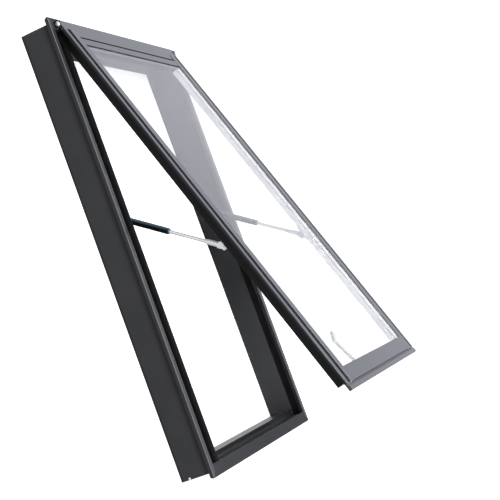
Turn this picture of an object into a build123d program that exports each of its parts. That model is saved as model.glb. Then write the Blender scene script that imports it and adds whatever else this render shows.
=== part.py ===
from build123d import *
import os

# A top-hung roof window lying flat, seen from outside: X runs across it, Y up the roof slope
# towards the hinges, Z out of the roof. The origin is the middle of the frame's underside.
# The sash is drawn shut on the frame and then swung open on its two hinge pins.

# Fixed frame, a hollow aluminium box section with a rim round its top edge
frame_width = 780
frame_length = 1180
frame_height = 90
frame_skin = 2.2
rim_overhang = 13
rim_depth = 12
rim_bevel_width = 3
rim_bevel_height = 8
rim_lip = 5
rim_top_radius = 1.5
rim_edge_radius = 1.2
wall_depth = 38
ledge_below_rim = 24

# Strip on each side bar that carries the side seal, and the flat flange at head and sill
side_strip_width = 6
side_strip_height = 5
end_flange_width = 31

# Rubber seals of the frame
seal_skin = 2.6
seal_base_height = 11
seal_tip_above_rim = 2
seal_side_gap = 0.3
end_seal_width = 8
end_seal_height = 4
end_seal_setback = 0.5

# Sash outline and the angle that it stands open
sash_side_margin = 30.5
sash_length = 1149
opening_angle = 19.1

# Hinge pins
pin_from_frame_edge = 20
pin_above_rim = 8
pin_from_sash_edge = 13
pin_below_sash_top = 5
pin_radius = 2.5
pin_head_radius = 6.5
pin_head_thickness = 4
pin_head_chamfer = 2.5
pin_fit = 0.3

# Outer aluminium covers of the sash
cover_skin = 2
cover_edge_depth = 8
cover_radius = 0.6
cover_edge_radius = 2.5
cap_edge_radius = 1.2
strip_width = 13.5
groove_depth = 2
cap_rise = 1.5
side_cap_start = 28
cap_inner_edge = 56
foot_flange_width = 18
foot_groove_width = 6
foot_leg_edge = 35
foot_cap_inner_edge = 59
head_corner_depth = 30
head_flange_width = 50
head_groove_width = 6
head_groove_depth = 3
head_band_rise = 1
head_band_skin = 1.5
head_band_edge = 77

# Inner sash bars under the covers
bar_inset = 24
bar_top = 4
bar_bottom = 33
bar_skin = 2
bar_radius = 1
rebate_start = 37
bar_inner_face = 54
head_bar_inset = 38
head_rebate_start = 58
head_bar_inner_face = 75

# Sealed double glazing, resting on the rebate of the sash bars
pane_thickness = 4
pane_gap = 8
pane_top_below_sash_top = 1
pane_edge_clearance = 1.5
spacer_width = 7
spacer_inset = 12
glazing_seal_width = 5
glazing_seal_setback = 1
sealant_film = 0.1

# Hinge brackets on the frame and hinge blocks under the sash cover
hinge_side_gap = 2
bracket_plate = 3
bracket_foot_plate = 1.2
bracket_length = 18
bracket_foot_width = 10
bracket_above_pin = 8
bracket_radius = 5
hinge_block_width = 20
hinge_block_length = 18

# Gas struts, one on each side, and the shoulder pins that their eyes turn on
strut_from_inner_face = 14.5
strut_foot_from_hinge = 485
strut_foot_below_rim = 43
strut_head_from_hinge = 676
strut_head_below_bar = 8
cylinder_radius = 8
cylinder_length = 133
cylinder_chamfer = 1.5
rod_radius = 4
rod_fit = 0.2
rod_inside_cylinder = 20
shoulder_radius = 4
shoulder_fit = 0.3
shoulder_head_radius = 6
shoulder_head_thickness = 2
eye_radius = 7.5
eye_width = 14.5
eye_side_gap = 0.5
eye_neck_length = 9
foot_sleeve_length = 18
head_sleeve_length = 46
sleeve_radius = 6.25
head_taper_length = 14
head_taper_end_radius = 4.75
strut_plate = 3
strut_plate_length = 44
strut_plate_width = 22
strut_plate_radius = 4

# Handle on the sash's lower bar, turned to one side
handle_plate_length = 46
handle_plate_width = 20
handle_plate_thickness = 3
handle_plate_radius = 6.5
handle_neck_radius = 5
handle_hub_radius = 9
handle_drop = 57
handle_thickness = 7
handle_width = 11
handle_arm_length = 109
handle_arm_turn = 25
handle_tip_length = 34
handle_tip_turn = -55
handle_tip_radius = 8
handle_edge_chamfer = 1.5

# Places worked out from the sizes above
frame_half_width = frame_width / 2
frame_half_length = frame_length / 2
inner_face = rim_overhang + wall_depth
lip_side = rim_overhang + rim_lip
rim_underside = frame_height - rim_depth
ledge_height = frame_height - ledge_below_rim
strip_outer = inner_face - side_strip_width
strip_top = ledge_height + side_strip_height
hinge_y = frame_half_length - pin_from_frame_edge
hinge_z = frame_height + pin_above_rim
hinge_axis = Axis((0, hinge_y, hinge_z), (1, 0, 0))
sash_half_width = frame_half_width - sash_side_margin
sash_head_y = hinge_y + pin_from_sash_edge
sash_foot_y = sash_head_y - sash_length
sash_top_z = hinge_z + pin_below_sash_top
unit_bottom = pane_top_below_sash_top + pane_thickness * 2 + pane_gap

os.makedirs("parts", exist_ok=True)


def section_plane(edge, inward):
    """Plane across a bar: local x runs inward from its outer edge, local y runs up."""
    across = Vector(*inward)
    return Plane(origin=edge, x_dir=across, z_dir=across.cross(Vector(0, 0, 1)))


def mitre_planes(edge, inward, half_run):
    """The upright planes at 45 degrees through the corners at a bar's two ends."""
    across = Vector(*inward)
    along = across.cross(Vector(0, 0, 1))
    return [
        Plane(origin=Vector(*edge) + along * end * half_run, z_dir=along * -end - across)
        for end in (1, -1)
    ]


def mirrored(piece, plane):
    """The same piece on the other side of the window."""
    with BuildPart() as twin:
        mirror(piece.part, about=plane)
    return twin


def save(piece, name):
    """Label a finished piece and write it to its own file."""
    piece.part.label = name
    export_step(piece.part, f"parts/{name}.step")


def save_open(piece, name):
    """Swing a piece of the sash open on the hinge pins, then write it."""
    with BuildPart() as opened:
        add(piece.part.rotate(hinge_axis, -opening_angle))
    save(opened, name)


# Frame: four bars of one hollow box section with a bevelled rim, mitred at the corners.
# Section points are (distance inward from the rim's edge, height above the underside).
box_outline = [
    (rim_overhang, 0),
    (rim_overhang, rim_underside),
    (rim_bevel_width, rim_underside),
    (0, rim_underside + rim_bevel_height),
    (0, frame_height),
    (lip_side, frame_height),
    (lip_side, ledge_height),
    (inner_face, ledge_height),
    (inner_face, 0),
]
box_radii = [0, 0, rim_edge_radius, 0, rim_top_radius, rim_edge_radius, 0, 0, 0]
box_chamber = [
    (rim_overhang + frame_skin, frame_skin),
    (rim_overhang + frame_skin, ledge_height - frame_skin),
    (inner_face - frame_skin, ledge_height - frame_skin),
    (inner_face - frame_skin, frame_skin),
]
rim_chamber = [
    (rim_bevel_width + frame_skin, rim_underside + frame_skin),
    (rim_bevel_width + frame_skin, frame_height - frame_skin),
    (rim_overhang, frame_height - frame_skin),
    (rim_overhang, rim_underside + frame_skin),
]
# Strip that stands on the ledge of each side bar and carries the side seal
side_strip_outline = [
    (inner_face, ledge_height),
    (inner_face, strip_top),
    (strip_outer, strip_top),
    (strip_outer, ledge_height),
]
# Flat flange level with the rim, on a leg that stands on the ledge
end_flange_outline = [
    (lip_side, frame_height),
    (end_flange_width, frame_height),
    (end_flange_width, ledge_height),
    (end_flange_width - frame_skin, ledge_height),
    (end_flange_width - frame_skin, frame_height - frame_skin),
    (lip_side, frame_height - frame_skin),
]


def frame_bar(edge, inward, half_run, rail_outline, rail_half_run):
    """One bar of the frame: the mitred box and, cut square, the rail on top of it."""
    across = section_plane(edge, inward)
    with BuildPart() as bar:
        with BuildSketch(across):
            with BuildLine():
                FilletPolyline(*box_outline, radius=box_radii, close=True)
            make_face()
            with BuildLine():
                Polyline(*box_chamber, close=True)
            make_face(mode=Mode.SUBTRACT)
            with BuildLine():
                Polyline(*rim_chamber, close=True)
            make_face(mode=Mode.SUBTRACT)
        extrude(amount=half_run, both=True)
        for cut in mitre_planes(edge, inward, half_run):
            split(bisect_by=cut, keep=Keep.TOP)
        with BuildSketch(across):
            with BuildLine():
                Polyline(*rail_outline, close=True)
            make_face()
        extrude(amount=rail_half_run, both=True)
    return bar


strip_half_run = frame_half_length - end_flange_width
flange_half_run = frame_half_width - lip_side
side_left = frame_bar(
    (-frame_half_width, 0, 0), (1, 0, 0), frame_half_length, side_strip_outline, strip_half_run
)
sill = frame_bar(
    (0, -frame_half_length, 0), (0, 1, 0), frame_half_width, end_flange_outline, flange_half_run
)
save(side_left, "frame_side_left")
save(mirrored(side_left, Plane.YZ), "frame_side_right")
save(sill, "frame_sill")
save(mirrored(sill, Plane.XZ), "frame_head")

# Side seal: a tall rubber foot on the strip and a lip that leans in to meet the shut sash bar
seal_tip = sash_side_margin + bar_inset - seal_side_gap
seal_foot_top = strip_top + seal_base_height
seal_tip_top = frame_height + seal_tip_above_rim
with BuildPart() as side_seal:
    with BuildSketch(section_plane((-frame_half_width, 0, 0), (1, 0, 0))):
        with BuildLine():
            outer_rise = Line((strip_outer, strip_top), (strip_outer, seal_foot_top))
            upper_curve = TangentArc(outer_rise @ 1, (seal_tip, seal_tip_top), tangent=(0, 1))
            tip = Line(upper_curve @ 1, (seal_tip, seal_tip_top - seal_skin))
            under_curve = ThreePointArc(
                tip @ 1,
                ((strip_outer + seal_tip) / 2 + seal_skin / 2, seal_foot_top + seal_skin),
                (inner_face, seal_foot_top),
            )
            inner_rise = Line(under_curve @ 1, (inner_face, strip_top))
            Line(inner_rise @ 1, outer_rise @ 0)
        make_face()
    extrude(amount=strip_half_run, both=True)
save(side_seal, "side_seal_left")
save(mirrored(side_seal, Plane.YZ), "side_seal_right")

# End seals: a low rubber pad on the ledge of the sill and the head, between the side strips
end_seal_outer = inner_face - end_seal_setback - end_seal_width
with BuildPart() as sill_seal:
    with BuildSketch(Plane.XY.offset(ledge_height)):
        with Locations((0, -frame_half_length + end_seal_outer + end_seal_width / 2)):
            Rectangle(frame_width - 2 * inner_face, end_seal_width)
    extrude(amount=end_seal_height)
    fillet(sill_seal.faces().sort_by(Axis.Z)[-1].edges().filter_by(Axis.X), radius=seal_skin / 2)
save(sill_seal, "sill_seal")
save(mirrored(sill_seal, Plane.XZ), "head_seal")

# Sash covers, painted aluminium. Section points are (distance inward from the sash's edge,
# height above the top of the sash's outer strip).
side_cover_outline = [
    (0, -cover_edge_depth),
    (0, 0),
    (strip_width, 0),
    (strip_width, -groove_depth),
    (side_cap_start, -groove_depth),
    (side_cap_start, cap_rise),
    (cap_inner_edge, cap_rise),
    (cap_inner_edge, cap_rise - cover_skin),
    (side_cap_start + cover_skin, cap_rise - cover_skin),
    (side_cap_start + cover_skin, -groove_depth - cover_skin),
    (strip_width - cover_skin, -groove_depth - cover_skin),
    (strip_width - cover_skin, -cover_skin),
    (cover_skin, -cover_skin),
    (cover_skin, -cover_edge_depth),
]
side_cover_radii = [0, cover_edge_radius, cover_radius, 0, 0, cover_radius, cap_edge_radius] + [0] * 7
foot_groove_start = foot_flange_width - foot_groove_width
foot_cover_outline = [
    (0, -cover_edge_depth),
    (0, 0),
    (foot_groove_start, 0),
    (foot_groove_start, -groove_depth),
    (foot_flange_width, -groove_depth),
    (foot_flange_width, cap_rise),
    (foot_cap_inner_edge, cap_rise),
    (foot_cap_inner_edge, cap_rise - cover_skin),
    (foot_leg_edge, cap_rise - cover_skin),
    (foot_leg_edge, -bar_top),
    (foot_leg_edge - cover_skin, -bar_top),
    (foot_leg_edge - cover_skin, cap_rise - cover_skin),
    (foot_flange_width + cover_skin, cap_rise - cover_skin),
    (foot_flange_width + cover_skin, -groove_depth - cover_skin),
    (foot_groove_start - cover_skin, -groove_depth - cover_skin),
    (foot_groove_start - cover_skin, -cover_skin),
    (cover_skin, -cover_skin),
    (cover_skin, -cover_edge_depth),
]
foot_cover_radii = [0, cover_edge_radius, cover_radius, 0, 0, cover_radius, cap_edge_radius] + [0] * 11
head_groove_end = head_flange_width + head_groove_width
head_cover_outline = [
    (0, -cover_edge_depth),
    (0, 0),
    (head_flange_width, 0),
    (head_flange_width, -head_groove_depth),
    (head_groove_end, -head_groove_depth),
    (head_groove_end, head_band_rise),
    (head_band_edge, head_band_rise),
    (head_band_edge, head_band_rise - head_band_skin),
    (head_groove_end + cover_skin, head_band_rise - head_band_skin),
    (head_groove_end + cover_skin, -bar_top),
    (head_flange_width - cover_skin, -bar_top),
    (head_flange_width - cover_skin, -cover_skin),
    (cover_skin, -cover_skin),
    (cover_skin, -cover_edge_depth),
]
head_cover_radii = [0, cover_edge_radius, cover_radius, 0, 0, cover_radius, cover_radius] + [0] * 7

cap_half_gap = sash_half_width - cap_inner_edge
side_cover_top = sash_head_y - head_corner_depth
side_cover_foot = sash_foot_y + foot_flange_width
cover_side_middle = (side_cover_top + side_cover_foot) / 2
with BuildPart() as side_cover:
    with BuildSketch(section_plane((-sash_half_width, cover_side_middle, sash_top_z), (1, 0, 0))):
        with BuildLine():
            FilletPolyline(*side_cover_outline, radius=side_cover_radii, close=True)
        make_face()
    extrude(amount=(side_cover_top - side_cover_foot) / 2, both=True)
save_open(side_cover, "side_cover_left")
save_open(mirrored(side_cover, Plane.YZ), "side_cover_right")


def end_cover(edge_y, inward, outline, radii, corner_depth):
    """Cover across the head or foot: its flange runs full width, its cap between the sides."""
    deepest = max(foot_cap_inner_edge, head_band_edge)
    notch_middle = edge_y + inward * (corner_depth + deepest / 2)
    wall_middle = edge_y + inward * corner_depth / 2
    with BuildPart() as cover:
        with BuildSketch(section_plane((0, edge_y, sash_top_z), (0, inward, 0))):
            with BuildLine():
                FilletPolyline(*outline, radius=radii, close=True)
            make_face()
        extrude(amount=sash_half_width, both=True)
        with BuildSketch(Plane.XY.offset(sash_top_z + cap_rise)):
            for side in (-1, 1):
                with Locations((side * (cap_half_gap + cap_inner_edge / 2), notch_middle)):
                    Rectangle(cap_inner_edge, deepest)
        extrude(amount=-cover_edge_depth - cap_rise, mode=Mode.SUBTRACT)
        with BuildSketch(Plane.XY.offset(sash_top_z - cover_skin)):
            for side in (-1, 1):
                with Locations((side * (sash_half_width - cover_skin / 2), wall_middle)):
                    Rectangle(cover_skin, corner_depth)
        extrude(amount=cover_skin - cover_edge_depth)
    return cover


foot_cover = end_cover(sash_foot_y, 1, foot_cover_outline, foot_cover_radii, foot_flange_width)
save_open(foot_cover, "foot_cover")

# The head cover's two end walls are drilled for the hinge pins
pin_hole_radius = pin_radius + pin_fit
blank_head_cover = end_cover(sash_head_y, -1, head_cover_outline, head_cover_radii, head_corner_depth)
with BuildPart() as head_cover:
    add(blank_head_cover.part)
    with BuildSketch(Plane.YZ.offset(-sash_half_width)):
        with Locations((hinge_y, hinge_z)):
            Circle(pin_hole_radius)
    extrude(amount=sash_half_width * 2, mode=Mode.SUBTRACT)
save_open(head_cover, "head_cover")

# Inner bars of the sash, hollow and black, with a rebate that the glass rests in
sash_bar_outline = [
    (bar_inset, -bar_top),
    (rebate_start, -bar_top),
    (rebate_start, -unit_bottom),
    (bar_inner_face, -unit_bottom),
    (bar_inner_face, -bar_bottom),
    (bar_inset, -bar_bottom),
]
sash_bar_radii = [bar_radius, 0, 0, bar_radius, bar_radius, bar_radius]
sash_bar_chamber = [
    (bar_inset + bar_skin, -bar_top - bar_skin),
    (rebate_start - bar_skin, -bar_top - bar_skin),
    (rebate_start - bar_skin, -unit_bottom - bar_skin),
    (bar_inner_face - bar_skin, -unit_bottom - bar_skin),
    (bar_inner_face - bar_skin, -bar_bottom + bar_skin),
    (bar_inset + bar_skin, -bar_bottom + bar_skin),
]
head_bar_outline = [
    (head_bar_inset, -bar_top),
    (head_rebate_start, -bar_top),
    (head_rebate_start, -unit_bottom),
    (head_bar_inner_face, -unit_bottom),
    (head_bar_inner_face, -bar_bottom),
    (head_bar_inset, -bar_bottom),
]
head_bar_chamber = [
    (head_bar_inset + bar_skin, -bar_top - bar_skin),
    (head_rebate_start - bar_skin, -bar_top - bar_skin),
    (head_rebate_start - bar_skin, -unit_bottom - bar_skin),
    (head_bar_inner_face - bar_skin, -unit_bottom - bar_skin),
    (head_bar_inner_face - bar_skin, -bar_bottom + bar_skin),
    (head_bar_inset + bar_skin, -bar_bottom + bar_skin),
]


def sash_bar(edge, inward, half_run, outline, chamber):
    """A hollow bar of the sash, cut square at its ends."""
    with BuildPart() as bar:
        with BuildSketch(section_plane(edge, inward)):
            with BuildLine():
                FilletPolyline(*outline, radius=sash_bar_radii, close=True)
            make_face()
            with BuildLine():
                Polyline(*chamber, close=True)
            make_face(mode=Mode.SUBTRACT)
        extrude(amount=half_run, both=True)
    return bar


# Side bars start at the head bar's outer face and are mitred with the foot bar
side_bar_start = sash_head_y - head_bar_inset
side_bar_half = (side_bar_start - sash_foot_y) / 2
foot_edge = (0, sash_foot_y, sash_top_z)
side_edge = (-sash_half_width, side_bar_start - side_bar_half, sash_top_z)
foot_mitre_left, foot_mitre_right = sorted(
    mitre_planes(foot_edge, (0, 1, 0), sash_half_width), key=lambda cut: cut.origin.X
)
square_side_bar = sash_bar(side_edge, (1, 0, 0), side_bar_half, sash_bar_outline, sash_bar_chamber)
with BuildPart() as side_bar:
    add(square_side_bar.part)
    split(bisect_by=foot_mitre_left, keep=Keep.BOTTOM)
save_open(side_bar, "sash_side_left")
save_open(mirrored(side_bar, Plane.YZ), "sash_side_right")

square_foot_bar = sash_bar(foot_edge, (0, 1, 0), sash_half_width, sash_bar_outline, sash_bar_chamber)
with BuildPart() as foot_bar:
    add(square_foot_bar.part)
    split(bisect_by=foot_mitre_left, keep=Keep.TOP)
    split(bisect_by=foot_mitre_right, keep=Keep.TOP)
save_open(foot_bar, "sash_foot")

# The head bar fits between the side bars' inner faces
head_edge = (0, sash_head_y, sash_top_z)
head_half_run = sash_half_width - bar_inner_face
head_bar = sash_bar(head_edge, (0, -1, 0), head_half_run, head_bar_outline, head_bar_chamber)
save_open(head_bar, "sash_head")

# Double glazing: two panes of glass held apart by a bright metal spacer at their edges
glass_side = sash_half_width - rebate_start - pane_edge_clearance
glass_head_y = sash_head_y - head_rebate_start - pane_edge_clearance
glass_foot_y = sash_foot_y + rebate_start + pane_edge_clearance
glass_middle = (glass_head_y + glass_foot_y) / 2
glass_length = glass_head_y - glass_foot_y
outer_pane_top = sash_top_z - pane_top_below_sash_top
spacer_top = outer_pane_top - pane_thickness
inner_pane_top = spacer_top - pane_gap


def pane(top):
    """A sheet of glass with its upper face at this height."""
    with BuildPart() as sheet:
        with BuildSketch(Plane.XY.offset(top)):
            with Locations((0, glass_middle)):
                Rectangle(2 * glass_side, glass_length)
        extrude(amount=-pane_thickness)
    return sheet


save_open(pane(outer_pane_top), "outer_pane")
save_open(pane(inner_pane_top), "inner_pane")

with BuildPart() as spacer:
    with BuildSketch(Plane.XY.offset(spacer_top - sealant_film)):
        with Locations((0, glass_middle)):
            Rectangle(2 * (glass_side - spacer_inset), glass_length - 2 * spacer_inset)
            Rectangle(
                2 * (glass_side - spacer_inset - spacer_width),
                glass_length - 2 * (spacer_inset + spacer_width),
                mode=Mode.SUBTRACT,
            )
    extrude(amount=2 * sealant_film - pane_gap)
save_open(spacer, "glass_spacer")

# Glazing seal: a thin rubber ring between the covers' edge and the outer pane
seal_half_width = sash_half_width - cap_inner_edge + glazing_seal_setback
seal_head_y = sash_head_y - head_band_edge + glazing_seal_setback
seal_foot_y = sash_foot_y + foot_cap_inner_edge - glazing_seal_setback
seal_middle = (seal_head_y + seal_foot_y) / 2
seal_length = seal_head_y - seal_foot_y
seal_top = sash_top_z + head_band_rise - head_band_skin
with BuildPart() as glazing_seal:
    with BuildSketch(Plane.XY.offset(seal_top)):
        with Locations((0, seal_middle)):
            Rectangle(
                2 * (seal_half_width + glazing_seal_width), seal_length + 2 * glazing_seal_width
            )
            Rectangle(2 * seal_half_width, seal_length, mode=Mode.SUBTRACT)
    extrude(amount=outer_pane_top + sealant_film - seal_top)
save_open(glazing_seal, "glazing_seal")

# Hinge bracket: a steel angle screwed to the head flange, drilled for the pin
bracket_inner_side = sash_half_width + hinge_side_gap
bracket_outer_side = bracket_inner_side + bracket_plate
bracket_top = hinge_z + bracket_above_pin
with BuildPart() as hinge_bracket:
    with BuildSketch(Plane.YZ.offset(-bracket_outer_side)):
        with Locations((hinge_y, frame_height)):
            Rectangle(bracket_length, bracket_top - frame_height, align=(Align.CENTER, Align.MIN))
    extrude(amount=bracket_plate)
    fillet(
        hinge_bracket.edges().filter_by(Axis.X).group_by(Axis.Z)[-1],
        radius=bracket_radius,
    )
    with BuildSketch(Plane.XY.offset(frame_height)):
        with Locations((-bracket_outer_side, hinge_y)):
            Rectangle(bracket_foot_width, bracket_length, align=(Align.MIN, Align.CENTER))
    extrude(amount=bracket_foot_plate)
    with BuildSketch(Plane.YZ.offset(-bracket_outer_side)):
        with Locations((hinge_y, hinge_z)):
            Circle(pin_hole_radius)
    extrude(amount=bracket_plate, mode=Mode.SUBTRACT)
save(hinge_bracket, "hinge_bracket_left")
save(mirrored(hinge_bracket, Plane.YZ), "hinge_bracket_right")

# Hinge block: fills the cover's corner behind its end wall and takes the end of the pin
block_outer_side = sash_half_width - cover_skin
with BuildPart() as hinge_block:
    with BuildSketch(Plane.YZ.offset(-block_outer_side)):
        with Locations((hinge_y, sash_top_z - cover_skin)):
            Rectangle(
                hinge_block_length, cover_edge_depth - cover_skin, align=(Align.CENTER, Align.MAX)
            )
        with Locations((hinge_y, hinge_z)):
            Circle(pin_hole_radius, mode=Mode.SUBTRACT)
    extrude(amount=hinge_block_width)
save_open(hinge_block, "hinge_block_left")
save_open(mirrored(hinge_block, Plane.YZ), "hinge_block_right")

# Hinge pin: a bright round-headed pin through the bracket into the block
pin_length = bracket_outer_side - block_outer_side + hinge_block_width
with BuildPart() as hinge_pin:
    with BuildSketch(Plane.YZ.offset(-bracket_outer_side)):
        with Locations((hinge_y, hinge_z)):
            Circle(pin_radius)
    extrude(amount=pin_length)
    with BuildSketch(Plane.YZ.offset(-bracket_outer_side)):
        with Locations((hinge_y, hinge_z)):
            Circle(pin_head_radius)
    extrude(amount=-pin_head_thickness)
    chamfer(hinge_pin.faces().sort_by(Axis.X)[0].edges(), length=pin_head_chamfer)
save(hinge_pin, "hinge_pin_left")
save(mirrored(hinge_pin, Plane.YZ), "hinge_pin_right")

# Gas strut: its two eyes turn in one upright plane on each side of the window
inner_side = frame_half_width - inner_face
strut_side = inner_side - strut_from_inner_face
strut_head_shut = Vector(
    -strut_side, hinge_y - strut_head_from_hinge, sash_top_z - bar_bottom - strut_head_below_bar
)
strut_head = Vertex(strut_head_shut).rotate(hinge_axis, -opening_angle).center()
strut_foot_y = hinge_y - strut_foot_from_hinge
strut_foot_z = frame_height - strut_foot_below_rim
strut_foot = Vector(-strut_side, strut_foot_y, strut_foot_z)
strut_line = strut_head - strut_foot
strut_plane = Plane(origin=strut_foot, x_dir=(1, 0, 0), z_dir=strut_line)
strut_length = strut_line.length
cylinder_end = foot_sleeve_length + cylinder_length
rod_length = strut_length - head_sleeve_length - cylinder_end + rod_inside_cylinder

with BuildPart(strut_plane) as cylinder:
    with Locations((0, 0, foot_sleeve_length)):
        Cylinder(
            cylinder_radius, cylinder_length, align=(Align.CENTER, Align.CENTER, Align.MIN)
        )
    chamfer(cylinder.edges().filter_by(GeomType.CIRCLE), length=cylinder_chamfer)
    with Locations((0, 0, cylinder_end)):
        Cylinder(
            rod_radius + rod_fit,
            rod_inside_cylinder,
            align=(Align.CENTER, Align.CENTER, Align.MAX),
            mode=Mode.SUBTRACT,
        )
save(cylinder, "strut_cylinder_left")
save(mirrored(cylinder, Plane.YZ), "strut_cylinder_right")

with BuildPart(strut_plane) as rod:
    with Locations((0, 0, cylinder_end - rod_inside_cylinder)):
        Cylinder(rod_radius, rod_length, align=(Align.CENTER, Align.CENTER, Align.MIN))
save(rod, "strut_rod_left")
save(mirrored(rod, Plane.YZ), "strut_rod_right")


def strut_fitting(eye_place, toward_middle, sleeve_length):
    """End fitting of a strut: an eye bored for its pin, with a round sleeve towards the middle."""
    eye_centre = strut_plane.origin + strut_plane.z_dir * eye_place
    strut_way = strut_plane.z_dir * toward_middle
    sleeve_start = eye_centre + strut_way * eye_neck_length
    with BuildPart() as fitting:
        with BuildSketch(Plane(origin=eye_centre, x_dir=strut_way, z_dir=(1, 0, 0))):
            Circle(eye_radius)
            Rectangle(eye_neck_length, 2 * eye_radius, align=(Align.MIN, Align.CENTER))
            Circle(shoulder_radius + shoulder_fit, mode=Mode.SUBTRACT)
        extrude(amount=eye_width / 2, both=True)
        with BuildSketch(Plane(origin=sleeve_start, x_dir=(1, 0, 0), z_dir=strut_way)):
            Circle(sleeve_radius)
        extrude(amount=sleeve_length)
    return fitting


foot_eye = strut_fitting(0, 1, foot_sleeve_length - eye_neck_length)
save(foot_eye, "strut_foot_eye_left")
save(mirrored(foot_eye, Plane.YZ), "strut_foot_eye_right")

# The head fitting's sleeve also tapers down towards the rod
head_collar_length = head_sleeve_length - eye_neck_length - head_taper_length
blank_head_eye = strut_fitting(strut_length, -1, head_collar_length)
with BuildPart() as head_eye:
    add(blank_head_eye.part)
    with Locations(strut_plane.offset(strut_length - head_sleeve_length)):
        Cone(
            head_taper_end_radius,
            sleeve_radius,
            head_taper_length,
            align=(Align.CENTER, Align.CENTER, Align.MIN),
        )
save(head_eye, "strut_head_eye_left")
save(mirrored(head_eye, Plane.YZ), "strut_head_eye_right")

# Foot bracket: a plate on the frame's inner face with a collar and a headed shoulder pin
eye_near_side = strut_side - eye_width / 2 - eye_side_gap
eye_far_side = strut_side + eye_width / 2 + eye_side_gap
with BuildPart() as foot_bracket:
    with BuildSketch(Plane.YZ.offset(-inner_side)):
        with Locations((strut_foot_y, strut_foot_z)):
            RectangleRounded(strut_plate_length, strut_plate_width, strut_plate_radius)
    extrude(amount=strut_plate)
    with BuildSketch(Plane.YZ.offset(-inner_side)):
        with Locations((strut_foot_y, strut_foot_z)):
            Circle(shoulder_head_radius)
    extrude(amount=inner_side - eye_far_side)
    with BuildSketch(Plane.YZ.offset(-inner_side)):
        with Locations((strut_foot_y, strut_foot_z)):
            Circle(shoulder_radius)
    extrude(amount=inner_side - eye_near_side)
    with BuildSketch(Plane.YZ.offset(-eye_near_side)):
        with Locations((strut_foot_y, strut_foot_z)):
            Circle(shoulder_head_radius)
    extrude(amount=shoulder_head_thickness)
save(foot_bracket, "strut_foot_bracket_left")
save(mirrored(foot_bracket, Plane.YZ), "strut_foot_bracket_right")

# Head bracket: a folded plate under the sash's side bar, its tab holding the other pin
bar_underside = sash_top_z - bar_bottom
bar_inner_side = sash_half_width - bar_inner_face
with BuildPart() as head_bracket:
    with BuildSketch(Plane.XY.offset(bar_underside)):
        with Locations((-eye_near_side, strut_head_shut.Y)):
            Rectangle(
                eye_near_side - bar_inner_side,
                strut_plate_length,
                align=(Align.MIN, Align.CENTER),
            )
    extrude(amount=-strut_plate)
    with BuildSketch(Plane.YZ.offset(-eye_near_side)):
        with Locations((strut_head_shut.Y, bar_underside)):
            Rectangle(
                strut_plate_width,
                strut_head_below_bar + eye_radius,
                align=(Align.CENTER, Align.MAX),
            )
    extrude(amount=strut_plate)
    fillet(
        head_bracket.edges().filter_by(Axis.X).group_by(Axis.Z)[0],
        radius=strut_plate_radius,
    )
    with BuildSketch(Plane.YZ.offset(-eye_near_side)):
        with Locations((strut_head_shut.Y, strut_head_shut.Z)):
            Circle(shoulder_radius)
    extrude(amount=eye_near_side - eye_far_side)
    with BuildSketch(Plane.YZ.offset(-eye_far_side)):
        with Locations((strut_head_shut.Y, strut_head_shut.Z)):
            Circle(shoulder_head_radius)
    extrude(amount=-shoulder_head_thickness)
save_open(head_bracket, "strut_head_bracket_left")
save_open(mirrored(head_bracket, Plane.YZ), "strut_head_bracket_right")

# Handle: a plate under the sash's foot bar and a lever that turns below it
handle_y = sash_foot_y + (bar_inset + bar_inner_face) / 2
with BuildPart() as handle_plate:
    with BuildSketch(Plane.XY.offset(bar_underside)):
        with Locations((0, handle_y)):
            RectangleRounded(handle_plate_length, handle_plate_width, handle_plate_radius)
    extrude(amount=-handle_plate_thickness)
save_open(handle_plate, "handle_plate")

lever_top = sash_top_z - handle_drop + handle_thickness / 2
neck_top = bar_underside - handle_plate_thickness
up_slope = 90
with BuildPart() as handle_lever:
    with BuildSketch(Plane.XY.offset(lever_top)):
        with BuildLine():
            arm = PolarLine((0, handle_y), handle_arm_length, up_slope + handle_arm_turn)
            tip_line = PolarLine(arm @ 1, handle_tip_length, up_slope + handle_tip_turn)
        trace(line_width=handle_width)
        with Locations(tip_line @ 1):
            Circle(handle_tip_radius)
        with Locations((0, handle_y)):
            Circle(handle_hub_radius)
    extrude(amount=-handle_thickness)
    chamfer(handle_lever.faces().group_by(Axis.Z)[0].edges(), length=handle_edge_chamfer)
    with BuildSketch(Plane.XY.offset(lever_top)):
        with Locations((0, handle_y)):
            Circle(handle_neck_radius)
    extrude(amount=neck_top - lever_top)
save_open(handle_lever, "handle_lever")
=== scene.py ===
import math

import bmesh
import bpy
from mathutils import Matrix, Vector


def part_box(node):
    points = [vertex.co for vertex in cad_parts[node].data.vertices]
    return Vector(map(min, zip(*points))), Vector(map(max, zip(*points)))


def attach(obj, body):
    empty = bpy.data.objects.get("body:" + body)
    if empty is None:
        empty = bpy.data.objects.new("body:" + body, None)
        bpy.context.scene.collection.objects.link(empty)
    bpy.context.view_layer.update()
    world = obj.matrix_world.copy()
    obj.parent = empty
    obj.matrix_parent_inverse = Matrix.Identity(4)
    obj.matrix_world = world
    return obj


# A top-hung roof window lying flat on a studio floor with its sash standing open.
# Every place is in metres in the part's own frame: X across, Y up the slope, Z out of the roof.
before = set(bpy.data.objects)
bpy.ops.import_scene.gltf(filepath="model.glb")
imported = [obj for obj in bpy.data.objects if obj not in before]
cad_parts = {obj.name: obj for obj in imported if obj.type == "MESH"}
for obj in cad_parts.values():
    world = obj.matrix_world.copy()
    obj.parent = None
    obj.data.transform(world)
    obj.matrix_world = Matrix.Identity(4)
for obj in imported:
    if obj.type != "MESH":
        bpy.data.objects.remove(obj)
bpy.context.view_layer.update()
scene = bpy.context.scene
scene.view_settings.view_transform = "Standard"

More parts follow.
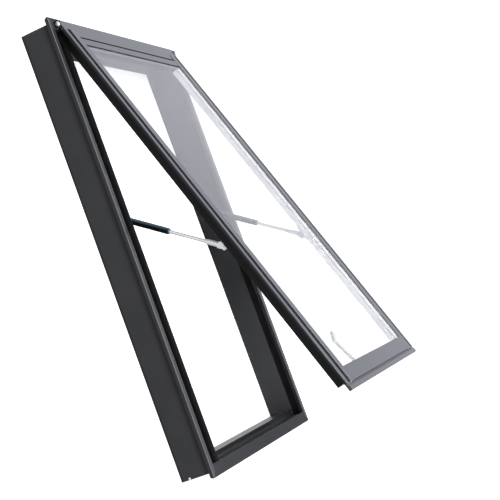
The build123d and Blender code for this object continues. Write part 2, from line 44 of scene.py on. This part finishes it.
# Camera: one long lens beside the window's left bar, turned so that the slope runs upright
# in the picture. Its three directions are the picture's right, up and towards the viewer.
camera_place = Vector((-3.1338, -0.3333, 1.3100))
camera_right = Vector((0.3281, -0.3464, 0.8788))
camera_up = Vector((0.0476, 0.9352, 0.3509))
camera_lens_mm = 90.6
camera_sensor_mm = 36
camera_data = bpy.data.cameras.new("camera")
camera_data.lens = camera_lens_mm
camera_data.sensor_width = camera_sensor_mm
camera = bpy.data.objects.new("camera", camera_data)
scene.collection.objects.link(camera)
camera_back = camera_right.cross(camera_up)
camera_axes = Matrix((camera_right, camera_up, camera_back)).transposed()
camera.matrix_world = Matrix.Translation(camera_place) @ camera_axes.to_4x4()
scene.camera = camera


# Studio: a white room that lights the window evenly from all sides. It is a little dimmer as
# a light than it looks to the camera, in gloss and through glass, and gloss sees it cool white.
def add_node(tree, kind, inputs=None, **settings):
    """A new shader node. An input that is given a socket is linked, any other is set."""
    node = tree.nodes.new(kind)
    for name, value in settings.items():
        setattr(node, name, value)
    for name, value in (inputs or {}).items():
        if isinstance(value, bpy.types.NodeSocket):
            tree.links.new(value, node.inputs[name])
        else:
            node.inputs[name].default_value = value
    return node


def calculate(tree, operation, *values):
    """The result of one sum or test on these numbers or sockets."""
    return add_node(tree, "ShaderNodeMath", dict(enumerate(values)), operation=operation).outputs[0]


def spread(tree, value, start=0.0, end=1.0, low=0.0, high=1.0):
    """A number that goes from low to high while the value goes from start to end."""
    return add_node(tree, "ShaderNodeMapRange", {
        "Value": value,
        "From Min": start,
        "From Max": end,
        "To Min": low,
        "To Max": high,
    }).outputs[0]


def blend_colors(tree, share, first, second):
    """The first colour where the share is 0 and the second where it is 1."""
    return add_node(tree, "ShaderNodeMix", {0: share, 6: first, 7: second}, data_type="RGBA").outputs[2]


def sees_directly(tree, path):
    """1 for rays from the camera, also through glass, and 0 for light that matt surfaces gather."""
    before_matt = calculate(tree, "LESS_THAN", path["Diffuse Depth"], 0.5)
    through_glass = calculate(tree, "MULTIPLY", path["Is Transmission Ray"], before_matt)
    return calculate(tree, "MAXIMUM", path["Is Camera Ray"], through_glass)


room_light = 0.75
room_white = (1, 1, 1, 1)
room_gloss_white = (0.9, 0.915, 1.0, 1)
room_world = bpy.data.worlds.new("white_room")
room_world.use_nodes = True
scene.world = room_world
room_tree = room_world.node_tree
room_background = room_tree.nodes["Background"]
room_path = add_node(room_tree, "ShaderNodeLightPath").outputs
room_seen = calculate(room_tree, "MAXIMUM", sees_directly(room_tree, room_path), room_path["Is Glossy Ray"])
room_tint = blend_colors(room_tree, room_path["Is Glossy Ray"], room_white, room_gloss_white)
room_tree.links.new(room_tint, room_background.inputs["Color"])
room_tree.links.new(spread(room_tree, room_seen, low=room_light), room_background.inputs["Strength"])

# Floor: one large matt sheet just under the window. It is white and glows a little to the
# camera, through glass and in gloss, and is a dull grey to the light that matt surfaces gather,
# so that little light comes from below.
floor_reach = 60.0
floor_drop = 0.0005
floor_glow = 0.78
floor_gloss_glow = 0.7
floor_glow_color = (1, 1, 1, 1)
floor_white = (0.8, 0.8, 0.8, 1)
floor_dull = (0.1, 0.1, 0.1, 1)
floor_mesh = bpy.data.meshes.new("floor")
floor_mesh.from_pydata(
    [(x * floor_reach, y * floor_reach, -floor_drop) for x, y in ((-1, -1), (1, -1), (1, 1), (-1, 1))],
    [],
    [(0, 1, 2, 3)],
)
floor = bpy.data.objects.new("floor", floor_mesh)
scene.collection.objects.link(floor)
floor_paper = bpy.data.materials.new("floor_paper")
floor_paper.use_nodes = True
floor_tree = floor_paper.node_tree
floor_shader = floor_tree.nodes["Principled BSDF"]
floor_shader.inputs["Roughness"].default_value = 1.0
floor_shader.inputs["Specular IOR Level"].default_value = 0.0
floor_shader.inputs["Emission Color"].default_value = floor_glow_color
floor_path = add_node(floor_tree, "ShaderNodeLightPath").outputs
floor_seen = sees_directly(floor_tree, floor_path)
floor_color = blend_colors(floor_tree, floor_seen, floor_dull, floor_white)
floor_gloss = calculate(floor_tree, "MULTIPLY", floor_path["Is Glossy Ray"], floor_gloss_glow)
floor_strength = spread(floor_tree, floor_seen, low=floor_gloss, high=floor_glow)
floor_tree.links.new(floor_color, floor_shader.inputs["Base Color"])
floor_tree.links.new(floor_strength, floor_shader.inputs["Emission Strength"])
floor.data.materials.append(floor_paper)

# Soft box: one wide round lamp high above the window's left side, turned to the middle of the
# window. It draws the soft shadows inside the frame.
lamp_place = Vector((-1.9, 0.1, 2.4))
lamp_width = 1.1
lamp_watts = 55.0
lamp_data = bpy.data.lights.new("soft_box", "AREA")
lamp_data.shape = "DISK"
lamp_data.size = lamp_width
lamp_data.energy = lamp_watts
lamp = bpy.data.objects.new("soft_box", lamp_data)
scene.collection.objects.link(lamp)
lamp.location = lamp_place
lamp.rotation_euler = (-lamp_place).to_track_quat("-Z", "Y").to_euler()


# Frame: four extruded aluminium bars, mitred and crimped at the corners, with a satin dark grey
# powder coat. The rounded edges of the side rims carry a painted highlight, the inner side walls a
# painted shadow of the open sash that darkens them towards the hinge, and the head and the sill a
# painted sheen kept only where they face up the slope.
def start_group(name, inputs, outputs):
    """An empty shader group with these sockets, and its two end nodes."""
    tree = bpy.data.node_groups.new(name, "ShaderNodeTree")
    for label, kind, value in inputs:
        socket = tree.interface.new_socket(label, in_out="INPUT", socket_type=kind)
        socket.default_value = value
    for label, kind in outputs:
        tree.interface.new_socket(label, in_out="OUTPUT", socket_type=kind)
    return tree, tree.nodes.new("NodeGroupInput"), tree.nodes.new("NodeGroupOutput")


def noise(tree, scale, detail, roughness=0.5):
    """A cloudy pattern over the piece from 0 to 1. A larger scale is a finer pattern."""
    place = add_node(tree, "ShaderNodeTexCoord")
    return add_node(tree, "ShaderNodeTexNoise", {
        "Vector": place.outputs["Object"],
        "Scale": scale,
        "Detail": detail,
        "Roughness": roughness,
    }).outputs["Fac"]


# The coat has small clouds and grains of tone, edges lightened in patches, partly by wear and partly as a
# painted highlight, painted shade that darkens and dulls its grooves and hollows, and a fine orange peel.
powder_coat, coat_in, coat_out = start_group(
    "powder_coat",
    [
        ("Paint", "NodeSocketColor", (0.03, 0.03, 0.033, 1)),
        ("Edge Wear And Highlight", "NodeSocketColor", (0.09, 0.09, 0.095, 1)),
        ("Roughness", "NodeSocketFloat", 0.3),
        ("Peel Scale", "NodeSocketFloat", 900.0),
        ("Peel Height", "NodeSocketFloat", 0.000012),
        ("Edge Width", "NodeSocketFloat", 0.0006),
        ("Painted Shade Reach", "NodeSocketFloat", 0.01),
    ],
    [
        ("Color", "NodeSocketColor"),
        ("Roughness", "NodeSocketFloat"),
        ("Coat Weight", "NodeSocketFloat"),
        ("Normal", "NodeSocketVector"),
    ],
)
coat_edge = add_node(powder_coat, "ShaderNodeBevel", {"Radius": coat_in.outputs["Edge Width"]}, samples=6)
coat_face = add_node(powder_coat, "ShaderNodeNewGeometry")
coat_flatness = add_node(powder_coat, "ShaderNodeVectorMath", {
    0: coat_edge.outputs["Normal"],
    1: coat_face.outputs["Normal"],
}, operation="DOT_PRODUCT")
coat_patches = noise(powder_coat, scale=9.0, detail=5.0, roughness=0.6)
# Edges lightened in patches: partly wear, partly a painted highlight.
coat_worn_highlit_edges = calculate(
    powder_coat,
    "MULTIPLY",
    spread(powder_coat, coat_flatness.outputs["Value"], start=0.998, end=0.93),
    coat_patches,
)
coat_speckle = noise(powder_coat, scale=2400.0, detail=1.0)
coat_level = calculate(
    powder_coat,
    "MULTIPLY",
    spread(powder_coat, coat_patches, start=0.3, end=0.7, low=0.9, high=1.1),
    spread(powder_coat, coat_speckle, start=0.25, end=0.75, low=0.88, high=1.12),
)
# Painted shade: occlusion darkens the paint and dulls the coat in grooves, hollows and against the floor.
coat_occlusion = add_node(powder_coat, "ShaderNodeAmbientOcclusion", {
    "Distance": coat_in.outputs["Painted Shade Reach"],
}, samples=6)
coat_unshaded = spread(powder_coat, coat_occlusion.outputs["AO"], start=0.45, end=0.92, low=0.12)
coat_tinted = add_node(powder_coat, "ShaderNodeVectorMath", {
    0: coat_in.outputs["Paint"],
    "Scale": calculate(powder_coat, "MULTIPLY", coat_level, coat_unshaded),
}, operation="SCALE")
coat_color = blend_colors(powder_coat, coat_worn_highlit_edges, coat_tinted.outputs[0], coat_in.outputs["Edge Wear And Highlight"])
coat_roughness = calculate(
    powder_coat,
    "ADD",
    coat_in.outputs["Roughness"],
    spread(powder_coat, coat_patches, start=0.3, end=0.7, low=-0.035, high=0.035),
)
coat_bump = add_node(powder_coat, "ShaderNodeBump", {
    "Strength": 1.0,
    "Distance": coat_in.outputs["Peel Height"],
    "Height": noise(powder_coat, scale=coat_in.outputs["Peel Scale"], detail=2.0),
    "Normal": coat_edge.outputs["Normal"],
})
powder_coat.links.new(coat_color, coat_out.inputs["Color"])
powder_coat.links.new(coat_roughness, coat_out.inputs["Roughness"])
powder_coat.links.new(coat_unshaded, coat_out.inputs["Coat Weight"])
powder_coat.links.new(coat_bump.outputs[0], coat_out.inputs["Normal"])
under_coat_ior = 1.03


def painted_metal(name, paint, edge_wear_and_highlight, roughness, sheen_ior, edge_width=0.0006, painted_shade_reach=0.01):
    """Powder-coated metal. Worn edges with a painted highlight are this wide; a higher sheen index shines
    more.
    """
    material = bpy.data.materials.new(name)
    material.use_nodes = True
    tree = material.node_tree
    coat = add_node(tree, "ShaderNodeGroup", node_tree=powder_coat)
    coat.inputs["Paint"].default_value = (*paint, 1)
    coat.inputs["Edge Wear And Highlight"].default_value = (*edge_wear_and_highlight, 1)
    coat.inputs["Roughness"].default_value = roughness
    coat.inputs["Edge Width"].default_value = edge_width
    coat.inputs["Painted Shade Reach"].default_value = painted_shade_reach
    shader = tree.nodes["Principled BSDF"]
    shader.inputs["IOR"].default_value = under_coat_ior
    shader.inputs["Coat IOR"].default_value = sheen_ior
    shader.inputs["Coat Roughness"].default_value = roughness
    tree.links.new(coat.outputs["Color"], shader.inputs["Base Color"])
    tree.links.new(coat.outputs["Roughness"], shader.inputs["Roughness"])
    tree.links.new(coat.outputs["Coat Weight"], shader.inputs["Coat Weight"])
    tree.links.new(coat.outputs["Normal"], shader.inputs["Normal"])
    return material


def dress(material, *names):
    """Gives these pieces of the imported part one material."""
    for name in names:
        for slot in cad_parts[name].material_slots:
            slot.material = material


def place_axes(tree):
    """Where the shaded point lies: its X, Y and Z in the part's own frame, in metres."""
    place = add_node(tree, "ShaderNodeTexCoord")
    return add_node(tree, "ShaderNodeSeparateXYZ", {0: place.outputs["Object"]}).outputs


def facing_axes(tree):
    """Which way the shaded surface faces: X, Y and Z of its direction."""
    face = add_node(tree, "ShaderNodeNewGeometry")
    return add_node(tree, "ShaderNodeSeparateXYZ", {0: face.outputs["Normal"]}).outputs


def color_over(material, share, color):
    """Lays another colour over the material's own one where the share is 1."""
    tree = material.node_tree
    base = tree.nodes["Principled BSDF"].inputs["Base Color"]
    tree.links.new(blend_colors(tree, share, base.links[0].from_socket, color), base)


def shine_where(material, share):
    """Keeps the coat's shine in this share, from 0 for none to 1 for all of it."""
    tree = material.node_tree
    weight = tree.nodes["Principled BSDF"].inputs["Coat Weight"]
    tree.links.new(calculate(tree, "MULTIPLY", share, weight.links[0].from_socket), weight)


frame_grey = (0.041, 0.042, 0.046)
side_edge_highlight = (0.2, 0.2, 0.21)
rounded_edge_lean = 0.6
rounded_edge_spread = 0.3
rounded_edge_highlight = (0.24, 0.24, 0.245, 1)
inner_wall_side = 0.345
inner_wall_shaded = (0.021, 0.022, 0.024, 1)
inner_wall_lit = (0.057, 0.058, 0.062, 1)
inner_wall_shade_low = -0.44
inner_wall_shade_high = -0.12
end_edge_highlight = (0.17, 0.17, 0.175)
end_shine_elsewhere = 0.2
side_paint = painted_metal(
    "side_paint", frame_grey, side_edge_highlight, roughness=0.3, sheen_ior=1.3, edge_width=0.0012
)
side_tree = side_paint.node_tree
side_place = place_axes(side_tree)
side_up = facing_axes(side_tree)["Z"]
# Painted highlight: faces leaning between upright and flat, on the rounded edges, are lightened.
side_round_highlight = calculate(side_tree, "COMPARE", side_up, rounded_edge_lean, rounded_edge_spread)
side_aside = calculate(side_tree, "ABSOLUTE", side_place["X"])
side_inside = calculate(side_tree, "LESS_THAN", side_aside, inner_wall_side)
# Painted shadow of the open sash: the inner walls are lighter at the foot and darker towards the hinge.
side_wall_lit_share = spread(
    side_tree, side_place["Y"], start=inner_wall_shade_low, end=inner_wall_shade_high, low=1.0, high=0.0
)
inner_wall_painted_shade = blend_colors(side_tree, side_wall_lit_share, inner_wall_shaded, inner_wall_lit)
color_over(side_paint, side_round_highlight, rounded_edge_highlight)
color_over(side_paint, side_inside, inner_wall_painted_shade)
end_paint = painted_metal(
    "end_paint", frame_grey, end_edge_highlight, roughness=0.34, sheen_ior=1.45, edge_width=0.001, painted_shade_reach=0.003
)
end_tree = end_paint.node_tree
# Painted sheen: the coat's shine is kept in full only on faces that look up the slope.
end_up_slope = facing_axes(end_tree)["Y"]
shine_where(end_paint, spread(end_tree, end_up_slope, start=0.7, end=0.95, low=end_shine_elsewhere))
dress(side_paint, "frame_side_left", "frame_side_right")
dress(end_paint, "frame_head", "frame_sill")

# Sash covers: pressed and extruded aluminium in the same coat, a little smoother and bluer,
# clipped on over the inner bars round the glass. The outer faces of the side covers are painted
# darker and duller, a painted shade, and their narrow faces towards the glass are pale.
cover_grey = (0.036, 0.039, 0.05)
cover_worn_highlit_edge = (0.12, 0.12, 0.13)
cover_roughness = 0.22
side_cover_edge_highlight = (0.8, 0.8, 0.83)
side_cover_shaded_side = (0.022, 0.022, 0.024, 1)
side_cover_shaded_shine = 0.1
side_cover_inner_edge = 0.3065
side_cover_inner_pale = (0.32, 0.32, 0.33, 1)
cover_paint = painted_metal(
    "cover_paint", cover_grey, cover_worn_highlit_edge, cover_roughness, sheen_ior=1.54, edge_width=0.001
)
side_cover_paint = painted_metal(
    "side_cover_paint", cover_grey, side_cover_edge_highlight, cover_roughness, sheen_ior=1.64, edge_width=0.0009
)
cover_tree = side_cover_paint.node_tree
cover_facing_aside = calculate(cover_tree, "ABSOLUTE", facing_axes(cover_tree)["X"])
cover_upright = spread(cover_tree, cover_facing_aside, start=0.88, end=0.98)
cover_aside = calculate(cover_tree, "ABSOLUTE", place_axes(cover_tree)["X"])
cover_inside = calculate(cover_tree, "LESS_THAN", cover_aside, side_cover_inner_edge)
cover_inner_face = calculate(cover_tree, "MULTIPLY", cover_inside, cover_upright)
# Painted shade: the upright faces of the side covers are darkened and lose most of the coat's shine.
color_over(side_cover_paint, cover_upright, side_cover_shaded_side)
color_over(side_cover_paint, cover_inner_face, side_cover_inner_pale)
shine_where(side_cover_paint, spread(cover_tree, cover_upright, low=1.0, high=side_cover_shaded_shine))
dress(cover_paint, "foot_cover", "head_cover")
dress(side_cover_paint, "side_cover_left", "side_cover_right")

# Inner sash bars: hollow aluminium in the same coat, which carry the glass and close on the
# frame's seals. The walls of the side bars that face the opening have a pale lining.
sash_grey = (0.02, 0.0205, 0.0225)
sash_worn_highlit_edge = (0.05, 0.05, 0.054)
lining_side = 0.3063
lining_reach = 0.001
lining_pale = (0.92, 0.9, 0.88, 1)
sash_paint = painted_metal("sash_paint", sash_grey, sash_worn_highlit_edge, roughness=0.28, sheen_ior=1.2)
sash_tree = sash_paint.node_tree
sash_aside = calculate(sash_tree, "ABSOLUTE", place_axes(sash_tree)["X"])
color_over(sash_paint, calculate(sash_tree, "COMPARE", sash_aside, lining_side, lining_reach), lining_pale)
dress(sash_paint, "sash_side_left", "sash_side_right", "sash_foot", "sash_head")

# Seals: extruded black rubber pressed into grooves of the frame and laid round the glass. It is
# matt with fine pores and a cloudy grey bloom, and holds dust where it faces up.
rubber_black = (0.003, 0.003, 0.0035, 1)
rubber_bloom = (0.009, 0.009, 0.0095, 1)
rubber_dust = (0.017, 0.017, 0.018, 1)
rubber_ior = 1.18
rubber_pore_depth = 0.00002
seal_rubber = bpy.data.materials.new("seal_rubber")
seal_rubber.use_nodes = True
rubber_tree = seal_rubber.node_tree
rubber_shader = rubber_tree.nodes["Principled BSDF"]
rubber_shader.inputs["IOR"].default_value = rubber_ior
rubber_cloud = noise(rubber_tree, scale=40.0, detail=6.0)
rubber_bloomed = spread(rubber_tree, rubber_cloud, start=0.35, end=0.75)
rubber_roughness = spread(rubber_tree, rubber_cloud, low=0.6, high=0.8)
rubber_top = spread(rubber_tree, facing_axes(rubber_tree)["Z"], start=0.7, end=0.98)
rubber_bump = add_node(rubber_tree, "ShaderNodeBump", {
    "Strength": 0.6,
    "Distance": rubber_pore_depth,
    "Height": noise(rubber_tree, scale=1500.0, detail=2.0),
})
rubber_tree.links.new(
    blend_colors(rubber_tree, rubber_bloomed, rubber_black, rubber_bloom), rubber_shader.inputs["Base Color"]
)
rubber_tree.links.new(rubber_roughness, rubber_shader.inputs["Roughness"])
rubber_tree.links.new(rubber_bump.outputs[0], rubber_shader.inputs["Normal"])
color_over(seal_rubber, rubber_top, rubber_dust)
dress(seal_rubber, "side_seal_left", "side_seal_right", "sill_seal", "head_seal", "glazing_seal")

# Glass: two sheets of float glass sealed round their edges, coated against the sun, so that
# each holds back some of the light for the pieces beneath. A very faint film breaks the shine.
glass_tint = (0.985, 0.99, 0.99, 1)
glass_shade = (0.72, 0.72, 0.73, 1)
film_roughness = 0.004


def float_glass(name, ior):
    """Clear glass with a faint uneven film. A lower index is a pane with a coat against glare."""
    material = bpy.data.materials.new(name)
    material.use_nodes = True
    tree = material.node_tree
    shader = tree.nodes["Principled BSDF"]
    shader.inputs["Base Color"].default_value = glass_tint
    shader.inputs["Transmission Weight"].default_value = 1.0
    shader.inputs["IOR"].default_value = ior
    film = noise(tree, scale=6.0, detail=8.0, roughness=0.65)
    tree.links.new(spread(tree, film, start=0.5, end=0.8, high=film_roughness), shader.inputs["Roughness"])
    path = add_node(tree, "ShaderNodeLightPath")
    clear = add_node(tree, "ShaderNodeBsdfTransparent", {"Color": glass_shade})
    surface = add_node(tree, "ShaderNodeMixShader", {
        0: path.outputs["Is Shadow Ray"],
        1: shader.outputs[0],
        2: clear.outputs[0],
    })
    tree.links.new(surface.outputs[0], tree.nodes["Material Output"].inputs["Surface"])
    return material


dress(float_glass("outer_glass", ior=1.295), "outer_pane")
dress(float_glass("inner_glass", ior=1.07), "inner_pane")

# Glass spacer: bent aluminium tube between the two panes, matt and bright along the sides, with
# painted shade across the head and the foot where it does not face sideways. It shares the finish
# of all small metal parts: scuffs in colour and gloss, an uneven skin and slightly soft edges.
turned_metal, turned_in, turned_out = start_group(
    "turned_metal",
    [
        ("Tint", "NodeSocketColor", (0.7, 0.7, 0.72, 1)),
        ("Scuffed", "NodeSocketColor", (0.45, 0.45, 0.46, 1)),
        ("Roughness", "NodeSocketFloat", 0.25),
        ("Scuff Scale", "NodeSocketFloat", 120.0),
    ],
    [
        ("Color", "NodeSocketColor"),
        ("Roughness", "NodeSocketFloat"),
        ("Normal", "NodeSocketVector"),
    ],
)
turned_edge = add_node(turned_metal, "ShaderNodeBevel", {"Radius": 0.0004}, samples=4)
turned_scuffs = noise(turned_metal, scale=turned_in.outputs["Scuff Scale"], detail=6.0, roughness=0.7)
turned_scuffed = spread(turned_metal, turned_scuffs, start=0.45, end=0.7)
turned_gloss = spread(turned_metal, turned_scuffs, low=-0.06, high=0.1)
turned_color = blend_colors(
    turned_metal, turned_scuffed, turned_in.outputs["Tint"], turned_in.outputs["Scuffed"]
)
turned_roughness = calculate(turned_metal, "ADD", turned_in.outputs["Roughness"], turned_gloss)
turned_bump = add_node(turned_metal, "ShaderNodeBump", {
    "Strength": 0.4,
    "Distance": 0.00002,
    "Height": turned_scuffs,
    "Normal": turned_edge.outputs["Normal"],
})
turned_metal.links.new(turned_color, turned_out.inputs["Color"])
turned_metal.links.new(turned_roughness, turned_out.inputs["Roughness"])
turned_metal.links.new(turned_bump.outputs[0], turned_out.inputs["Normal"])


def small_part(name, tint, scuffed, roughness, metallic):
    """Finish of a small turned, pressed or moulded part."""
    material = bpy.data.materials.new(name)
    material.use_nodes = True
    tree = material.node_tree
    finish = add_node(tree, "ShaderNodeGroup", node_tree=turned_metal)
    finish.inputs["Tint"].default_value = (*tint, 1)
    finish.inputs["Scuffed"].default_value = (*scuffed, 1)
    finish.inputs["Roughness"].default_value = roughness
    shader = tree.nodes["Principled BSDF"]
    shader.inputs["Metallic"].default_value = metallic
    tree.links.new(finish.outputs["Color"], shader.inputs["Base Color"])
    tree.links.new(finish.outputs["Roughness"], shader.inputs["Roughness"])
    tree.links.new(finish.outputs["Normal"], shader.inputs["Normal"])
    return material


spacer_bright = (0.8, 0.8, 0.81)
spacer_scuffed = (0.72, 0.72, 0.73)
spacer_shaded = (0.14, 0.14, 0.145, 1)
spacer_metal = small_part("spacer_metal", spacer_bright, spacer_scuffed, roughness=0.5, metallic=0.0)
spacer_tree = spacer_metal.node_tree
# Painted shade: every face of the spacer that does not face sideways is darkened.
spacer_aside = calculate(spacer_tree, "ABSOLUTE", facing_axes(spacer_tree)["X"])
color_over(spacer_metal, calculate(spacer_tree, "SUBTRACT", 1.0, spacer_aside), spacer_shaded)
dress(spacer_metal, "glass_spacer")

# Hinges: a zinc-plated round-headed pin on each side through a steel bracket into a black
# block behind the end wall of the head cover. The bracket is painted, bare on its inner face.
zinc_bright = (0.85, 0.86, 0.88)
zinc_scuffed = (0.6, 0.61, 0.63)
steel_black = (0.03, 0.03, 0.032)
steel_scuffed = (0.06, 0.06, 0.062)
bracket_grey = (0.036, 0.039, 0.045)
bracket_worn_highlit_edge = (0.1, 0.1, 0.11)
bracket_inner_face = 0.3626
bracket_bare = (0.27, 0.27, 0.28, 1)
zinc_plate = small_part("zinc_plate", zinc_bright, zinc_scuffed, roughness=0.28, metallic=1.0)
black_steel = small_part("black_steel", steel_black, steel_scuffed, roughness=0.4, metallic=0.0)
bracket_paint = painted_metal("bracket_paint", bracket_grey, bracket_worn_highlit_edge, roughness=0.3, sheen_ior=1.4)
bracket_tree = bracket_paint.node_tree
bracket_aside = calculate(bracket_tree, "ABSOLUTE", place_axes(bracket_tree)["X"])
bracket_inside = calculate(bracket_tree, "LESS_THAN", bracket_aside, bracket_inner_face)
color_over(bracket_paint, bracket_inside, bracket_bare)
dress(zinc_plate, "hinge_pin_left", "hinge_pin_right")
dress(black_steel, "hinge_block_left", "hinge_block_right")
dress(bracket_paint, "hinge_bracket_left", "hinge_bracket_right")

# Gas struts: a gloss black steel cylinder with a painted blue-grey reflection of the sky on its upper
# side, a hard-chromed rod and zinc-plated end fittings that turn on shoulder pins in black brackets.
# The rod is polished bright on its sides and carries painted dark reflections along its top and bottom.
barrel_black = (0.004, 0.006, 0.008)
barrel_scuffed = (0.006, 0.009, 0.012)
barrel_sky_reflection = (0.12, 0.2, 0.27, 1)
barrel_ior = 1.12
chrome_bright = (0.88, 0.88, 0.88)
chrome_scuffed = (0.82, 0.82, 0.82)
rod_dark_reflection = (0.06, 0.06, 0.065, 1)
rod_dark_reflection_ior = 1.1
barrel_paint = small_part("barrel_paint", barrel_black, barrel_scuffed, roughness=0.2, metallic=0.0)
barrel_tree = barrel_paint.node_tree
barrel_tree.nodes["Principled BSDF"].inputs["IOR"].default_value = barrel_ior
# Painted reflection: the barrel's upper side is tinted blue-grey where it faces the sky.
barrel_reflection_share = spread(barrel_tree, facing_axes(barrel_tree)["Z"], start=0.1, end=0.8)
color_over(barrel_paint, barrel_reflection_share, barrel_sky_reflection)
rod_chrome = small_part("rod_chrome", chrome_bright, chrome_scuffed, roughness=0.2, metallic=1.0)
rod_tree = rod_chrome.node_tree
rod_shader = rod_tree.nodes["Principled BSDF"]
rod_shader.inputs["IOR"].default_value = rod_dark_reflection_ior
# Painted reflection: faces that look up or down turn dark and lose their metal, giving dark outlines.
rod_aside = calculate(rod_tree, "ABSOLUTE", facing_axes(rod_tree)["X"])
rod_dark_reflection_share = spread(rod_tree, rod_aside, start=0.85, end=0.45)
color_over(rod_chrome, rod_dark_reflection_share, rod_dark_reflection)
rod_tree.links.new(calculate(rod_tree, "SUBTRACT", 1.0, rod_dark_reflection_share), rod_shader.inputs["Metallic"])
dress(barrel_paint, "strut_cylinder_left", "strut_cylinder_right")
dress(rod_chrome, "strut_rod_left", "strut_rod_right")
dress(zinc_plate, "strut_head_eye_left", "strut_head_eye_right")
dress(black_steel, "strut_foot_eye_left", "strut_foot_eye_right")
dress(black_steel, "strut_foot_bracket_left", "strut_foot_bracket_right")
dress(zinc_plate, "strut_head_bracket_left", "strut_head_bracket_right")

# Handle: a die-cast plate and lever screwed on under the foot bar. Both are coated light silver,
# worn darker along their edges.
handle_silver = (0.74, 0.72, 0.7)
handle_worn = (0.1, 0.1, 0.1)
handle_coat = painted_metal(
    "handle_coat", handle_silver, handle_worn, roughness=0.36, sheen_ior=1.3, edge_width=0.0025
)
dress(handle_coat, "handle_plate", "handle_lever")

# Screws: zinc-plated pan heads with a cross recess, turned in at the foot corners of the
# frame's side walls and through the struts' bracket plates.
screw_radius = 0.0033
screw_height = 0.0024
screw_arm = 0.0022
screw_arm_half = 0.0005
screw_steps = 48
screw_profile = [(1.0, 0.0), (1.0, 0.4), (0.95, 0.66), (0.84, 0.86), (0.7, 1.0)]
recess_floor_up = 0.35
recess_floor_spread = 0.8
screw_sharp_angle = math.radians(32)
corner_screw_side = 0.377
corner_screw_from_middle = 0.5735
corner_screw_height = 0.023
corner_screw_turn = 0.4
foot_plate_thickness = 0.003
plate_screw_spread = 0.015
plate_screw_turn = 0.9
plate_screw_turn_apart = 0.5


def recess_reach(turn):
    """How far the edge of the cross recess is from the screw's middle on this side."""
    along = max(abs(math.cos(turn)), 0.001)
    aside = max(abs(math.sin(turn)), 0.001)
    return max(
        min(screw_arm / along, screw_arm_half / aside),
        min(screw_arm / aside, screw_arm_half / along),
    )


screw_turns = [math.tau * step / screw_steps for step in range(screw_steps)]
screw_rings = [
    [(math.cos(turn) * screw_radius * out, math.sin(turn) * screw_radius * out, screw_height * up)
     for turn in screw_turns]
    for out, up in screw_profile
]
for recess_up, recess_spread in ((1.0, 1.0), (recess_floor_up, recess_floor_spread)):
    screw_rings.append([
        (
            math.cos(turn) * recess_reach(turn) * recess_spread,
            math.sin(turn) * recess_reach(turn) * recess_spread,
            screw_height * recess_up,
        )
        for turn in screw_turns
    ])
screw_build = bmesh.new()
screw_corners = [[screw_build.verts.new(place) for place in ring] for ring in screw_rings]
for lower_ring, upper_ring in zip(screw_corners, screw_corners[1:]):
    for step, corner in enumerate(lower_ring):
        after = (step + 1) % screw_steps
        screw_build.faces.new((corner, lower_ring[after], upper_ring[after], upper_ring[step]))
recess_floor = screw_build.verts.new((0, 0, screw_height * recess_floor_up))
for step, corner in enumerate(screw_corners[-1]):
    screw_build.faces.new((corner, screw_corners[-1][(step + 1) % screw_steps], recess_floor))
screw_build.faces.new(list(reversed(screw_corners[0])))
for face in screw_build.faces:
    face.smooth = True
screw_mesh = bpy.data.meshes.new("screw_head")
screw_build.to_mesh(screw_mesh)
screw_build.free()
screw_mesh.set_sharp_from_angle(angle=screw_sharp_angle)
screw_mesh.materials.append(zinc_plate)


def add_screw(name, place, outward, turn):
    """One screw head that sits at this place, faces outward and is turned by this angle."""
    screw = bpy.data.objects.new(name, screw_mesh)
    scene.collection.objects.link(screw)
    stand = Vector(outward).to_track_quat("Z", "Y").to_matrix().to_4x4()
    screw.matrix_world = Matrix.Translation(place) @ stand @ Matrix.Rotation(turn, 4, "Z")
    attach(screw, "root")


for side, side_name in ((-1, "left"), (1, "right")):
    corner_place = (side * corner_screw_side, -corner_screw_from_middle, corner_screw_height)
    add_screw(f"corner_screw_{side_name}", corner_place, (side, 0, 0), corner_screw_turn)
    foot_low, foot_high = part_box(f"strut_foot_bracket_{side_name}")
    foot_middle = (foot_low + foot_high) / 2
    foot_face = max(abs(foot_low.x), abs(foot_high.x)) - foot_plate_thickness
    for end in (-1, 1):
        plate_place = (side * foot_face, foot_middle.y + end * plate_screw_spread, foot_middle.z)
        plate_turn = plate_screw_turn + end * plate_screw_turn_apart
        add_screw(f"foot_plate_screw_{side_name}_{end}", plate_place, (-side, 0, 0), plate_turn)

# Head strip: a thin black rubber bead along the head edge of the outer pane, pressed in under
# the head cover. It is drawn with the sash shut and swung open about the hinge pins.
opening_angle = math.radians(19.1)
hinge_place = Vector((0, 0.57, 0.098))
bead_half_length = 0.3032
bead_top_edge = -0.0638
bead_width = 0.0018
bead_rise = 0.0008
pane_top = 0.004
bead_profile = [(0.0, 0.0), (0.0, 1.0), (0.6, 1.0), (0.85, 0.75), (1.0, 0.0)]
bead_swing = Matrix.Translation(hinge_place) @ Matrix.Rotation(-opening_angle, 4, "X")
bead_build = bmesh.new()
bead_ends = [
    [
        bead_build.verts.new(bead_swing @ Vector((
            side * bead_half_length,
            bead_top_edge - bead_width * out,
            pane_top + bead_rise * up,
        )))
        for out, up in bead_profile
    ]
    for side in (-1, 1)
]
for step, corner in enumerate(bead_ends[0]):
    after = (step + 1) % len(bead_profile)
    bead_build.faces.new((corner, bead_ends[0][after], bead_ends[1][after], bead_ends[1][step]))
bead_build.faces.new(list(reversed(bead_ends[0])))
bead_build.faces.new(bead_ends[1])
bmesh.ops.recalc_face_normals(bead_build, faces=bead_build.faces)
bead_mesh = bpy.data.meshes.new("head_strip")
bead_build.to_mesh(bead_mesh)
bead_build.free()
bead_mesh.materials.append(seal_rubber)
head_strip = bpy.data.objects.new("head_strip", bead_mesh)
scene.collection.objects.link(head_strip)
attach(head_strip, "root")
